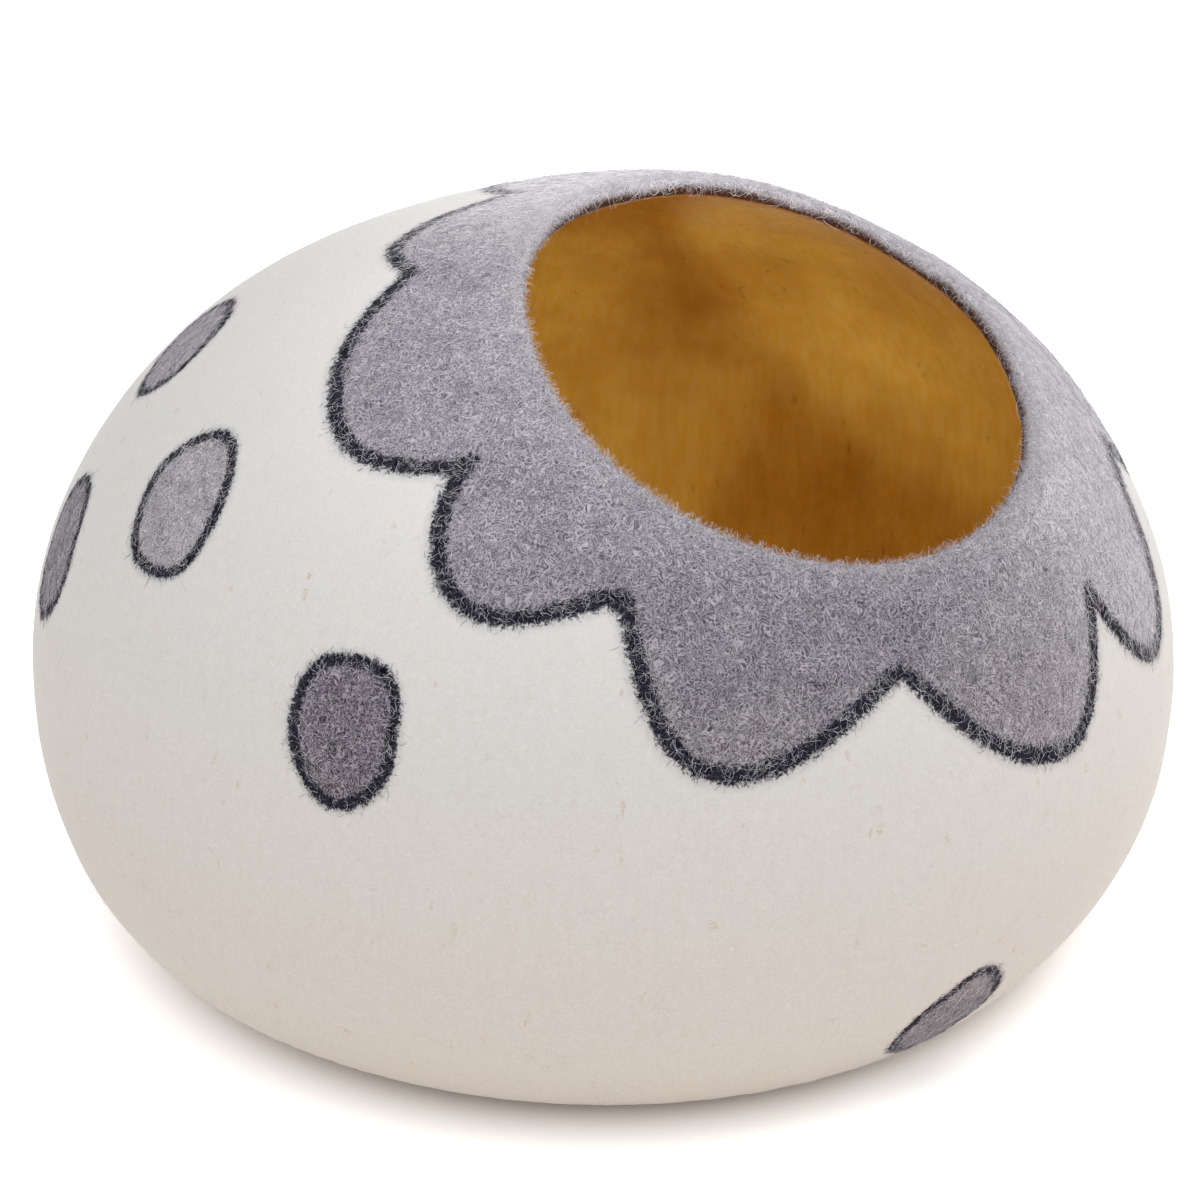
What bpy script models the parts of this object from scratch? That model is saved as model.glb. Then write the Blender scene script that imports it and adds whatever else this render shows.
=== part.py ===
"""Felt cat cave: one wet-felted wool shell, a squat round pot with a flat foot and a tilted round mouth.

Metres, +Z up. The foot stands on z = 0 with its middle at the origin, and the mouth faces -Y.
A heading is an angle about +Z in degrees, from -Y towards +X.
"""
import math
from collections import namedtuple

import bmesh
import bpy
from mathutils import Matrix, Vector

# The shell's outer form: a crown above the girth and a fuller belly below it, cut off by the floor.
GIRTH_RADIUS = 0.250        # half of the widest measure across
GIRTH_HEIGHT = 0.118        # height of the widest ring above the floor
CROWN_RISE = 0.199          # from the girth up to where a closed crown would end
CROWN_FULLNESS = 2.0        # exponent of the crown's profile, where 2 is an ellipse
BELLY_DROP = 0.157          # from the girth down to where the belly would end without a floor
BELLY_FULLNESS = 2.65       # exponent of the belly's profile
CROWN_LEAN = Vector((0.0039, -0.0050, 0.0))  # how far the soft crown has sunk to one side
FELT = 0.008                # thickness of the felted wool

# The mouth: a round hole cut through the crown, leaning forward.
MOUTH_TILT = 26.9           # degrees from straight up to the mouth's middle
MOUTH_REACH = 32.7          # degrees from the mouth's middle to its edge, seen from the girth's middle
MOUTH_OVAL = 2.6            # degrees by which the long way of the slightly oval mouth reaches further
MOUTH_OVAL_TURN = -45.0     # where round the mouth the long way lies, from its front towards +X
LIP_ROUND = 0.0036          # radius of the rounded lip

# The foot
FOOT_BEND = 0.07            # share of the wall's rings that the soft bend into the flat foot takes up

# How finely the shell is divided
SEGMENTS = 64               # around the mouth
WALL_RINGS = 24             # from the mouth to the bend
BEND_STEPS = 3
FOOT_RINGS = 4
LIP_STEPS = 3
LIP_CORNER = 50.0           # degrees: only the cut edges of the mouth are sharper than this

# Soft dents and swells of the hand-felted wall: where each one is, how wide, and how far it pushes out.
Swell = namedtuple("Swell", "heading height spread push")
SWELLS = (
    Swell(heading=35, height=0.215, spread=0.070, push=-0.0025),
    Swell(heading=94, height=0.300, spread=0.060, push=0.0030),
    Swell(heading=170, height=0.305, spread=0.055, push=-0.0024),
    Swell(heading=-152, height=0.268, spread=0.055, push=0.0022),
    Swell(heading=-130, height=0.180, spread=0.060, push=0.0008),
    Swell(heading=30, height=0.120, spread=0.070, push=0.0016),
    Swell(heading=-8, height=0.050, spread=0.055, push=-0.0024),
    Swell(heading=-100, height=0.045, spread=0.050, push=0.0030),
    Swell(heading=82, height=0.130, spread=0.075, push=0.0015),
    Swell(heading=140, height=0.190, spread=0.070, push=-0.0020),
    Swell(heading=-52, height=0.130, spread=0.060, push=-0.0012),
)
STILL_HEIGHT = 0.045        # below this height the swells fade out, so that the foot stays round and flat

FELT_COLOUR = (0.80, 0.79, 0.76, 1.0)
FELT_ROUGHNESS = 0.95


def clear_scene():
    for obj in list(bpy.data.objects):
        bpy.data.objects.remove(obj, do_unlink=True)


def profile_radius(direction):
    """Distance from the girth's middle to the even outer surface, along a unit direction."""
    across = math.hypot(direction.x, direction.y) / GIRTH_RADIUS
    if direction.z >= 0:
        rise, fullness = CROWN_RISE, CROWN_FULLNESS
    else:
        rise, fullness = BELLY_DROP, BELLY_FULLNESS
    return (across ** fullness + abs(direction.z / rise) ** fullness) ** (-1 / fullness)


def foot_radius():
    """Where the belly's profile meets the floor."""
    left = 1 - (GIRTH_HEIGHT / BELLY_DROP) ** BELLY_FULLNESS
    return GIRTH_RADIUS * left ** (1 / BELLY_FULLNESS)


def heading_direction(heading, climb):
    """Unit direction at a heading and a slope, both in radians."""
    return Vector((math.sin(heading) * math.cos(climb), -math.cos(heading) * math.cos(climb), math.sin(climb)))


def swell_centre(swell):
    """The place on the even surface where a swell is strongest."""
    low, high = -math.pi / 2, math.pi / 2
    for _ in range(40):
        climb = (low + high) / 2
        direction = heading_direction(math.radians(swell.heading), climb)
        if direction.z * profile_radius(direction) < swell.height - GIRTH_HEIGHT:
            low = climb
        else:
            high = climb
    return direction * profile_radius(direction)


SWELL_CENTRES = [(swell, swell_centre(swell)) for swell in SWELLS]


def wall_point(direction):
    """A point of the outer surface: the even profile, its swells and the crown's lean."""
    point = direction * profile_radius(direction)
    height = point.z + GIRTH_HEIGHT
    fade = min(1.0, max(0.0, height / STILL_HEIGHT))
    push = sum(s.push * math.exp(-((point - centre).length / s.spread) ** 2) for s, centre in SWELL_CENTRES)
    lean = CROWN_LEAN * max(0.0, point.z / CROWN_RISE) ** 2
    return point + direction * push * fade + lean + Vector((0, 0, GIRTH_HEIGHT))


def ring_point(share, turn):
    """A point of the ring at a share of the way from the mouth (0) to the foot (1).

    The rings start tilted like the mouth and level out on the way down.
    """
    mouth_reach = MOUTH_REACH + MOUTH_OVAL * math.cos(2 * (turn - math.radians(MOUTH_OVAL_TURN)))
    foot_reach = 180 - math.degrees(math.atan2(foot_radius(), GIRTH_HEIGHT))
    reach = math.radians(mouth_reach + (foot_reach - mouth_reach) * share)
    tilt = Matrix.Rotation(math.radians(MOUTH_TILT) * (1 - share), 3, "X")
    around = Vector((math.sin(turn) * math.sin(reach), -math.cos(turn) * math.sin(reach), math.cos(reach)))
    return wall_point(tilt @ around)


def bend_point(share, turn):
    """A point of the soft bend between the wall (share 0) and the flat foot (share 1)."""
    corner = ring_point(1.0, turn)
    corner.z = 0.0
    above = ring_point(1.0 - FOOT_BEND, turn)
    inside = corner - corner.normalized() * (above - corner).length
    return above * (1 - share) ** 2 + corner * 2 * share * (1 - share) + inside * share ** 2


def foot_point(share, turn):
    """A point of the flat foot, from the bend (share 0) towards the middle (share 1)."""
    return bend_point(1.0, turn) * (1 - share)


def place_ring(ring, point, share):
    for index, vert in enumerate(ring):
        vert.co = point(share, 2 * math.pi * index / len(ring))


def next_ring(bm, ring, point, share):
    """Extrudes a ring of edges, puts it in its place and returns its points in the same order."""
    edges = ring_edges(bm, ring)
    made = bmesh.ops.extrude_edge_only(bm, edges=edges)["geom"]
    fresh = {item for item in made if isinstance(item, bmesh.types.BMVert)}
    new_ring = [next(e.other_vert(v) for e in v.link_edges if e.other_vert(v) in fresh) for v in ring]
    place_ring(new_ring, point, share)
    return new_ring


def ring_edges(bm, ring):
    return [bm.edges.get((a, b)) for a, b in zip(ring, ring[1:] + ring[:1])]


def skin(bm):
    """The outer skin, ring by ring from the mouth down the wall, round the bend and across the foot."""
    bmesh.ops.create_circle(bm, segments=SEGMENTS, radius=GIRTH_RADIUS)
    ring = list(bm.verts)
    place_ring(ring, ring_point, 0.0)
    for step in range(1, WALL_RINGS + 1):
        ring = next_ring(bm, ring, ring_point, (1.0 - FOOT_BEND) * step / WALL_RINGS)
    for step in range(1, BEND_STEPS + 1):
        ring = next_ring(bm, ring, bend_point, step / BEND_STEPS)
    for step in range(1, FOOT_RINGS):
        ring = next_ring(bm, ring, foot_point, step / FOOT_RINGS)
    middle = bmesh.ops.edgeloop_fill(bm, edges=ring_edges(bm, ring))["faces"]
    bmesh.ops.poke(bm, faces=middle)


def face_outwards(bm):
    bmesh.ops.recalc_face_normals(bm, faces=bm.faces)
    middle = Vector((0, 0, GIRTH_HEIGHT))
    if sum((f.calc_center_median() - middle).dot(f.normal) for f in bm.faces) < 0:
        bmesh.ops.reverse_faces(bm, faces=bm.faces)


def felt_material():
    mat = bpy.data.materials.new("cream_felt")
    mat.use_nodes = True
    shader = mat.node_tree.nodes["Principled BSDF"]
    shader.inputs["Base Color"].default_value = FELT_COLOUR
    shader.inputs["Roughness"].default_value = FELT_ROUGHNESS
    shader.inputs["Metallic"].default_value = 0.0
    mat.diffuse_color = FELT_COLOUR
    return mat


def felt_shell():
    """The whole cave: the outer skin, thickened inward to the felt's wall, with a rounded lip."""
    bm = bmesh.new()
    skin(bm)
    face_outwards(bm)
    mesh = bpy.data.meshes.new("felt_shell")
    bm.to_mesh(mesh)
    bm.free()
    mesh.materials.append(felt_material())
    shell = bpy.data.objects.new("felt_shell", mesh)
    bpy.context.scene.collection.objects.link(shell)

    wall = shell.modifiers.new("felt", "SOLIDIFY")
    wall.thickness = FELT
    wall.offset = -1.0
    wall.use_even_offset = True
    wall.use_quality_normals = True
    lip = shell.modifiers.new("lip", "BEVEL")
    lip.limit_method = "ANGLE"
    lip.angle_limit = math.radians(LIP_CORNER)
    lip.width = LIP_ROUND
    lip.segments = LIP_STEPS
    mesh.shade_smooth()
    return shell


clear_scene()
felt_shell()
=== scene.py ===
# %% [markdown]
# # A felt cat cave
#
# The cave is one squat, round pot of thick wool felt, wet-felted in one piece, with a wide mouth cut
# through its leaning crown. It is cream outside and mustard inside. A grey scalloped collar with a
# charcoal outline lies round the mouth, and grey spots with charcoal rings are strewn over the sides.
#
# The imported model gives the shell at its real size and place. This lesson dresses it in four steps:
# a finer wall, the places of the coloured wool, the wool itself, and the loose fibres on top.

# %% The frame
import math
from collections import namedtuple

import bmesh
import bpy
import numpy as np
from mathutils import Matrix, Vector, noise
from mathutils.bvhtree import BVHTree
from mathutils.kdtree import KDTree


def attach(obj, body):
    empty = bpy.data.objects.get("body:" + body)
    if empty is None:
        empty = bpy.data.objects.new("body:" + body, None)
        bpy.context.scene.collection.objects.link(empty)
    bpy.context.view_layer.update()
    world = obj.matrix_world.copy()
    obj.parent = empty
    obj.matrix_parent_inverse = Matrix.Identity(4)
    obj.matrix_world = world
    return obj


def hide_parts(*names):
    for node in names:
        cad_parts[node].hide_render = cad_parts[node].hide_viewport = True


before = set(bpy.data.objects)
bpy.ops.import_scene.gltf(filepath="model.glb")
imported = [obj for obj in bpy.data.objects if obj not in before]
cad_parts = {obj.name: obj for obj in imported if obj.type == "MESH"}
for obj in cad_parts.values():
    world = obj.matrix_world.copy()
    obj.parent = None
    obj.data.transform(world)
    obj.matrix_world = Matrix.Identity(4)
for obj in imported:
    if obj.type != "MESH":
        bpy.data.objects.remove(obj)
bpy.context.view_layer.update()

SHELL_NODE = "felt_shell"
MM = 0.001

# %% [markdown]
# ## The view
#
# A product photograph is taken from far away with a long lens, which keeps a round shape free of bulging.
# The camera could be given three coordinates and a target. Here its place is a turn, a rise and a
# distance from the middle of the girth, because each of them changes one thing in the picture: it
# stands to the left of the mouth and a little above it.

# %% The camera
GIRTH_MIDDLE = Vector((0, 0, 0.118))    # the middle of the widest ring
VIEW_TURN = math.radians(-52)
VIEW_RISE = math.radians(26)
VIEW_DISTANCE = 1.75
VIEW_LIFT = 0.0174                      # how far above the girth's middle the camera aims
VIEW_ASIDE = -0.0010                    # and how far to the right of it
LENS = 118.6
SENSOR = 36


def camera_at(turn, rise, distance, lift, aside):
    data = bpy.data.cameras.new("camera")
    data.sensor_width = SENSOR
    data.lens = LENS
    camera = bpy.data.objects.new("camera", data)
    bpy.context.scene.collection.objects.link(camera)
    camera.rotation_euler = (math.pi / 2 - rise, 0, turn)
    turned = camera.rotation_euler.to_matrix()
    camera.location = GIRTH_MIDDLE + turned @ Vector((aside, lift, distance))
    return camera


camera = camera_at(VIEW_TURN, VIEW_RISE, VIEW_DISTANCE, VIEW_LIFT, VIEW_ASIDE)
bpy.context.scene.camera = camera
print("camera at", [round(part, 3) for part in camera.location])

# %% [markdown]
# ## The light
#
# White wool in a white studio is lit from all sides. A ring of lamps could do that, but a white room, one
# plain background colour, is simpler and casts no hard shadows. A broad soft lamp shines down into the
# mouth, and another comes from the right. The room hardly reaches the wool inside, so two narrow lights
# from the camera's side pass through the mouth and brighten it.
#
# Colours are shown without a film-like curve, so that white wool and a white floor stay white.

# %% The lights
CABIN_LIGHT_RADIUS = 0.12               # how large each narrow light is, which softens its shade


def lamp(kind, name, place, aim, watts):
    data = bpy.data.lights.new(name, kind)
    data.energy = watts
    obj = bpy.data.objects.new(name, data)
    bpy.context.scene.collection.objects.link(obj)
    obj.location = place
    obj.rotation_euler = (Vector(aim) - Vector(place)).to_track_quat("-Z", "Y").to_euler()
    return data


def soft_lamp(name, place, aim, size, watts):
    lamp("AREA", name, place, aim, watts).size = size


def mouth_spot(name, place, aim, cone, watts):
    """A soft narrow light that mostly passes through the mouth."""
    data = lamp("SPOT", name, place, aim, watts)
    data.spot_size = math.radians(cone)
    data.spot_blend = 1.0
    data.shadow_soft_size = CABIN_LIGHT_RADIUS


def white_room(strength):
    world = bpy.data.worlds.new("white room")
    world.use_nodes = True
    background = world.node_tree.nodes["Background"]
    background.inputs["Color"].default_value = (1.0, 1.0, 1.0, 1.0)
    background.inputs["Strength"].default_value = strength
    bpy.context.scene.world = world


bpy.context.scene.view_settings.view_transform = "Standard"
white_room(strength=0.94)
soft_lamp("mouth lamp", place=(-0.30, -0.50, 2.0), aim=(0, 0, 0.1), size=1.0, watts=6)
soft_lamp("side lamp", place=(1.34, -0.56, 1.00), aim=(0, 0, 0.13), size=1.2, watts=8)
mouth_spot("left cabin light", place=(-0.88, -1.66, 1.18), aim=(0.07, 0.02, 0.320), cone=11, watts=78)
mouth_spot("right cabin light", place=(-1.72, -0.62, 0.98), aim=(0.10, 0.03, 0.325), cone=11.5, watts=92)
print("lamps", [light.name for light in bpy.data.lights])

# %% [markdown]
# ## The floor
#
# The floor of such a picture is pure white, and only the shade close under the belly shows that it is
# there. A plain white plane would come out light grey. So this one also glows a little, which lights the
# belly from below, except close to the foot, where the shade stays and a brownish painted shadow is added.

# %% A pale floor
FLOOR_SIZE = 14
FLOOR_GLOW_REACH = (0.182, 0.236)       # between these distances from the foot's middle the glow comes up
FLOOR_GLOW = (0.0, 0.46)
FLOOR_COLOUR = (0.93, 0.93, 0.93, 1.0)
# painted shadow: the floor's brownish colour close to the foot
FLOOR_PAINTED_SHADOW = (0.80, 0.72, 0.65, 1.0)


def floor_range(tree, value, low=0.0, high=1.0):
    """Runs from low to high between the two distances of the glow."""
    node = tree.nodes.new("ShaderNodeMapRange")
    tree.links.new(value, node.inputs["Value"])
    node.inputs["From Min"].default_value, node.inputs["From Max"].default_value = FLOOR_GLOW_REACH
    node.inputs["To Min"].default_value = low
    node.inputs["To Max"].default_value = high
    return node


def floor_material():
    mat = bpy.data.materials.new("pale floor")
    mat.use_nodes = True
    tree = mat.node_tree
    shader = tree.nodes["Principled BSDF"]
    shader.inputs["Emission Strength"].default_value = 1.0
    shader.inputs["Roughness"].default_value = 1.0
    shader.inputs["Specular IOR Level"].default_value = 0.0
    reach = tree.nodes.new("ShaderNodeVectorMath")
    reach.operation = "LENGTH"
    tree.links.new(tree.nodes.new("ShaderNodeTexCoord").outputs["Object"], reach.inputs[0])
    glow = floor_range(tree, reach.outputs["Value"], *FLOOR_GLOW)
    glow.interpolation_type = "SMOOTHSTEP"
    tree.links.new(glow.outputs[0], shader.inputs["Emission Color"])
    # painted shadow: brownish close to the foot, white further out
    painted_shadow = tree.nodes.new("ShaderNodeMix")
    painted_shadow.data_type = "RGBA"
    painted_shadow.inputs[6].default_value = FLOOR_PAINTED_SHADOW
    painted_shadow.inputs[7].default_value = FLOOR_COLOUR
    tree.links.new(floor_range(tree, reach.outputs["Value"]).outputs[0], painted_shadow.inputs[0])
    tree.links.new(painted_shadow.outputs[2], shader.inputs["Base Color"])
    return mat


def pale_floor():
    bpy.ops.mesh.primitive_plane_add(size=FLOOR_SIZE, location=(0, 0, 0))
    floor = bpy.context.object
    floor.name = "floor"
    floor.data.materials.append(floor_material())
    return floor


print("floor", round(pale_floor().dimensions.x), "m across")

# %% [markdown]
# ## The wall
#
# The real wall is one skin of felt, rubbed round by hand, with no seam and no flat facet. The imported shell
# has its size and place but coarse faces, and subdividing it would give rings that don't follow the
# collar. So the wall starts as a fine sphere whose pole points out of the mouth: its rings run round
# the mouth and across the collar.
#
# The cap over the mouth is deleted, the rings are moved so that the first one follows the slightly oval
# edge of the mouth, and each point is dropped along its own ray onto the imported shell. Rays near the
# mouth would land on the rounded lip, so the first rings carry on from the rings below them.
#
# Operators and modifiers may number points and faces differently in each run. The fibres' roots are drawn
# by these numbers later on, so the wall is put in order twice.

# %% Sizes of the wall
MOUTH_TILT = 26.9           # degrees from straight up to the mouth's middle
MOUTH_REACH = 32.7          # degrees from the mouth's middle to its edge, seen from the girth's middle
MOUTH_OVAL = 2.6            # degrees by which the long way of the oval reaches further
MOUTH_OVAL_TURN = -45.0     # where round the mouth the long way lies, from its front towards +X
FELT = 8 * MM
LIP_ROUND = 3.7 * MM
AROUND = 288                # points round the mouth
RINGS = 128                 # rings from the mouth to the foot
LIP_GAP = 1.15              # degrees between the first two rings, room for the rounded lip
FINE_NEAR_MOUTH = 0.62      # how much closer together than even the rings lie near the mouth
LEAN = Matrix.Rotation(math.radians(MOUTH_TILT), 3, "X")


def mouth_edge(clock):
    """Degrees from the mouth's middle to its edge. A clock angle runs from the front towards +X."""
    return MOUTH_REACH + MOUTH_OVAL * np.cos(2 * (clock - math.radians(MOUTH_OVAL_TURN)))


def direction(clock, reach):
    """Unit directions from the girth's middle, both angles in radians."""
    local = np.stack([np.sin(clock) * np.sin(reach), -np.cos(clock) * np.sin(reach), np.cos(reach)], axis=-1)
    return local @ np.array(LEAN).T


def ring_reach(ring, clock):
    """Where ring number ring crosses a clock angle, in radians from the mouth's middle."""
    share = np.clip((ring - 1) / (RINGS - 1), 0, 1)
    spread = FINE_NEAR_MOUTH * share + (1 - FINE_NEAR_MOUTH) * share ** 2
    start = mouth_edge(clock) + LIP_GAP
    return np.radians(np.where(ring < 0.5, mouth_edge(clock), start + (180 - start) * spread))


print("the mouth is", 2 * (MOUTH_REACH - MOUTH_OVAL), "to", 2 * (MOUTH_REACH + MOUTH_OVAL), "degrees wide")

# %% Dropping points onto the shell
def deselect_all():
    bpy.ops.object.select_all(action="DESELECT")


def shell_tree():
    """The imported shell, ready for rays, with the doubled points of its loose triangles merged."""
    bm = bmesh.new()
    bm.from_mesh(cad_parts[SHELL_NODE].data)
    bmesh.ops.remove_doubles(bm, verts=bm.verts, dist=1e-6)
    tree = BVHTree.FromBMesh(bm)
    bm.free()
    return tree


SHELL = shell_tree()
FIRST_TRUSTED_RING = 2      # nearer rings would land on the rounded lip
FAR = 1.0


def drop(unit):
    """How far from the girth's middle the shell's outside lies, along a unit direction."""
    unit = Vector(unit)
    hit = SHELL.ray_cast(GIRTH_MIDDLE + unit * FAR, -unit)
    return FAR - hit[3]


def smooth_step(low, high, value):
    share = np.clip((value - low) / (high - low), 0, 1)
    return share * share * (3 - 2 * share)


def blurred(radius, passes):
    """Averages each point of the grid with its neighbours, and treats the pole as it is."""
    out = radius.copy()
    for _ in range(passes):
        out = (np.roll(out, 1, axis=1) + 2 * out + np.roll(out, -1, axis=1)) / 4
        out[1:-1] = (out[:-2] + 2 * out[1:-1] + out[2:]) / 4
    return out


def skin_radius(units, reach):
    radius = np.zeros(units.shape[:2])
    for ring in range(FIRST_TRUSTED_RING, units.shape[0]):
        radius[ring] = [drop(unit) for unit in units[ring]]
    near, next_one = FIRST_TRUSTED_RING, FIRST_TRUSTED_RING + 3
    slope = (radius[next_one] - radius[near]) / (reach[next_one] - reach[near])
    for ring in range(FIRST_TRUSTED_RING):
        radius[ring] = radius[near] + slope * (reach[ring] - reach[near])
    return radius


print("the shell's top is", round(drop((0, 0.4, 0.9)), 3), "m from the girth's middle, towards the back")

# %% [markdown]
# A light blur takes out the flat facets of the coarser model. Two sizes of ripple, half a millimetre deep
# at most, are what rubbing by hand leaves. The foot stays flat, and keeps the shape that it has.

# %% The grid of the outer skin
BLUR_PASSES = 10
FOOT_STILL = (0.012, 0.036)     # below the first height the shell's own foot is kept as it is
FLAT_BELOW = 0.5 * MM           # and below this one it is exactly flat

clock_line = np.arange(AROUND) * 2 * np.pi / AROUND
ring_grid, clock_grid = np.meshgrid(np.arange(RINGS + 1), clock_line, indexing="ij")
reach_grid = ring_reach(ring_grid, clock_grid)
unit_grid = direction(clock_grid, reach_grid)
raw_radius = skin_radius(unit_grid, reach_grid)
raw_height = raw_radius * unit_grid[..., 2] + GIRTH_MIDDLE.z
above_foot = smooth_step(*FOOT_STILL, raw_height)
radius_grid = raw_radius + (blurred(raw_radius, BLUR_PASSES) - raw_radius) * above_foot

Ripple = namedtuple("Ripple", "size depth")
RIPPLES = (Ripple(size=0.045, depth=0.55 * MM), Ripple(size=0.016, depth=0.16 * MM))


def hand_felted(units, radius):
    """The soft unevenness that rubbing by hand leaves in the wool, none of it on the foot."""
    ripple = np.zeros(radius.shape)
    for index in np.ndindex(radius.shape):
        place = Vector(units[index]) * float(radius[index])
        ripple[index] = sum(r.depth * noise.noise(place / r.size) for r in RIPPLES)
    return ripple


radius_grid = radius_grid + hand_felted(unit_grid, radius_grid) * above_foot
place_grid = unit_grid * radius_grid[..., None] + np.array(GIRTH_MIDDLE)
place_grid[..., 2] = np.where(raw_height < FLAT_BELOW, 0.0, np.maximum(place_grid[..., 2], 0.0))
print("outer skin", place_grid.reshape(-1, 3).min(axis=0), place_grid.reshape(-1, 3).max(axis=0))

# %% The wall's mesh
def select_faces(obj, wanted):
    """Selects the faces for which wanted(centre) is true, and nothing else. The object is in edit mode."""
    bm = bmesh.from_edit_mesh(obj.data)
    for face in bm.faces:
        face.select_set(wanted(face.calc_center_median()))
    bmesh.update_edit_mesh(obj.data)


def fine_sphere():
    """A sphere with as many rings below the mouth as the grid has, and one cap over it to delete."""
    deselect_all()
    bpy.ops.mesh.primitive_uv_sphere_add(segments=AROUND, ring_count=RINGS + 1, radius=1.0)
    wall = bpy.context.object
    cap = math.cos(math.pi / (RINGS + 1))
    bpy.ops.object.mode_set(mode="EDIT")
    select_faces(wall, lambda centre: centre.z > cap)
    bpy.ops.mesh.delete(type="FACE")
    bpy.ops.object.mode_set(mode="OBJECT")
    return wall


def grid_index(co):
    """The ring and clock numbers of points on the unit sphere."""
    ring = np.rint(np.arccos(np.clip(co[:, 2], -1, 1)) / math.pi * (RINGS + 1)) - 1
    turn = np.arctan2(co[:, 0], -co[:, 1]) / (2 * math.pi) * AROUND
    return ring.astype(int), np.rint(turn).astype(int) % AROUND


def put_in_order(obj, numbers=None):
    """Puts the points in the order of the numbers, and the edges and faces in that of their points."""
    bm = bmesh.new()
    bm.from_mesh(obj.data)
    if numbers is not None:
        bm.verts.sort(key=lambda vert: float(numbers[vert.index]))
        bm.verts.index_update()

    def by_points(part):
        key = 0
        for index in sorted(vert.index for vert in part.verts)[:3]:
            key = key * len(bm.verts) + index
        return key

    bm.edges.sort(key=by_points)
    bm.faces.sort(key=by_points)
    bm.to_mesh(obj.data)
    bm.free()


wall = fine_sphere()
wall.name = "felt_wall"
co = np.empty(len(wall.data.vertices) * 3)
wall.data.vertices.foreach_get("co", co)
ring_of, turn_of = grid_index(co.reshape(-1, 3))
wall.data.vertices.foreach_set("co", place_grid[ring_of, turn_of].ravel())
put_in_order(wall, ring_of * AROUND + turn_of)
wall.data.shade_smooth()
OUTER_SKIN = BVHTree.FromPolygons([point.co.copy() for point in wall.data.vertices],
                                  [face.vertices for face in wall.data.polygons])
print("outer wall", len(wall.data.polygons), "faces")

# %% [markdown]
# ## The thickness of the felt
#
# The real wall is cut open at the mouth, so its thickness shows there as a soft round lip. A second skin
# could be modelled inside the first and bridged to it. A Solidify modifier that goes inwards does that
# at once and evenly, and a Bevel modifier rounds the two cut edges into one lip. Only those edges are
# sharp enough for the bevel's angle.

# %% The wall's thickness and lip
LIP_CORNER = math.radians(50)
LIP_STEPS = 5


def apply_all(obj):
    deselect_all()
    obj.select_set(True)
    bpy.context.view_layer.objects.active = obj
    for modifier in list(obj.modifiers):
        bpy.ops.object.modifier_apply(modifier=modifier.name)


def thicken(obj):
    felt = obj.modifiers.new("felt", "SOLIDIFY")
    felt.thickness = FELT
    felt.offset = -1.0
    felt.use_even_offset = True
    felt.use_quality_normals = True
    lip = obj.modifiers.new("lip", "BEVEL")
    lip.limit_method = "ANGLE"
    lip.angle_limit = LIP_CORNER
    lip.width = LIP_ROUND
    lip.segments = LIP_STEPS
    apply_all(obj)
    obj.data.shade_smooth()


def face_outwards(obj):
    """Turns the faces outwards while the wall is still a single skin."""
    bm = bmesh.new()
    bm.from_mesh(obj.data)
    bmesh.ops.recalc_face_normals(bm, faces=bm.faces)
    if sum((f.calc_center_median() - GIRTH_MIDDLE).dot(f.normal) for f in bm.faces) < 0:
        bmesh.ops.reverse_faces(bm, faces=bm.faces)
    bm.to_mesh(obj.data)
    bm.free()


face_outwards(wall)
thicken(wall)
put_in_order(wall)
wall_places = np.empty(len(wall.data.vertices) * 3)
wall.data.vertices.foreach_get("co", wall_places)
wall_places = wall_places.reshape(-1, 3)
print("wall", sum(len(p.vertices) - 2 for p in wall.data.polygons), "triangles")

# %% [markdown]
# ## Where the coloured wool lies
#
# On the real cave the grey collar, its charcoal outline and the spots are thin layers of dyed wool, felted
# into the cream and flush with it. They could be cut out as faces, or painted on an image. Here
# numbers are stored on the wall's points instead, so that the material can blend and fray the colours.
# `edge` is the distance from the drawn outline in metres, below zero inside the collar and the spots.
# `depth` is how far in from the outer skin a point is. `frost` says how pale the wool is, with painted light
# and shade in it.
#
# The collar's scallops are plain cosine humps between notches, each with its own tip and fullness, listed
# round the mouth.

# %% The collar's scallops
Scallop = namedtuple("Scallop", "notch_clock notch_reach tip_clock tip_reach before after")
SCALLOPS = (
    Scallop(-228.0, 43.5, -206.0, 61.0, before=1.0, after=0.6),
    Scallop(-188.0, 45.3, -161.5, 49.4, before=0.9, after=1.1),
    Scallop(-149.4, 44.3, -116.0, 53.1, before=1.1, after=0.8),
    Scallop(-98.7, 43.4, -84.3, 54.1, before=0.7, after=1.3),
    Scallop(-68.0, 45.2, -51.1, 57.0, before=1.2, after=1.3),
    Scallop(-28.6, 45.2, -2.6, 55.9, before=1.08, after=1.3),
    Scallop(10.8, 44.1, 23.8, 56.5, before=0.7, after=3.6),
    Scallop(50.0, 46.3, 64.0, 56.0, before=0.5, after=1.2),
    Scallop(78.0, 44.0, 91.5, 54.0, before=1.0, after=1.1),
    Scallop(105.0, 43.3, 118.0, 53.0, before=0.9, after=1.1),
)


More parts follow.
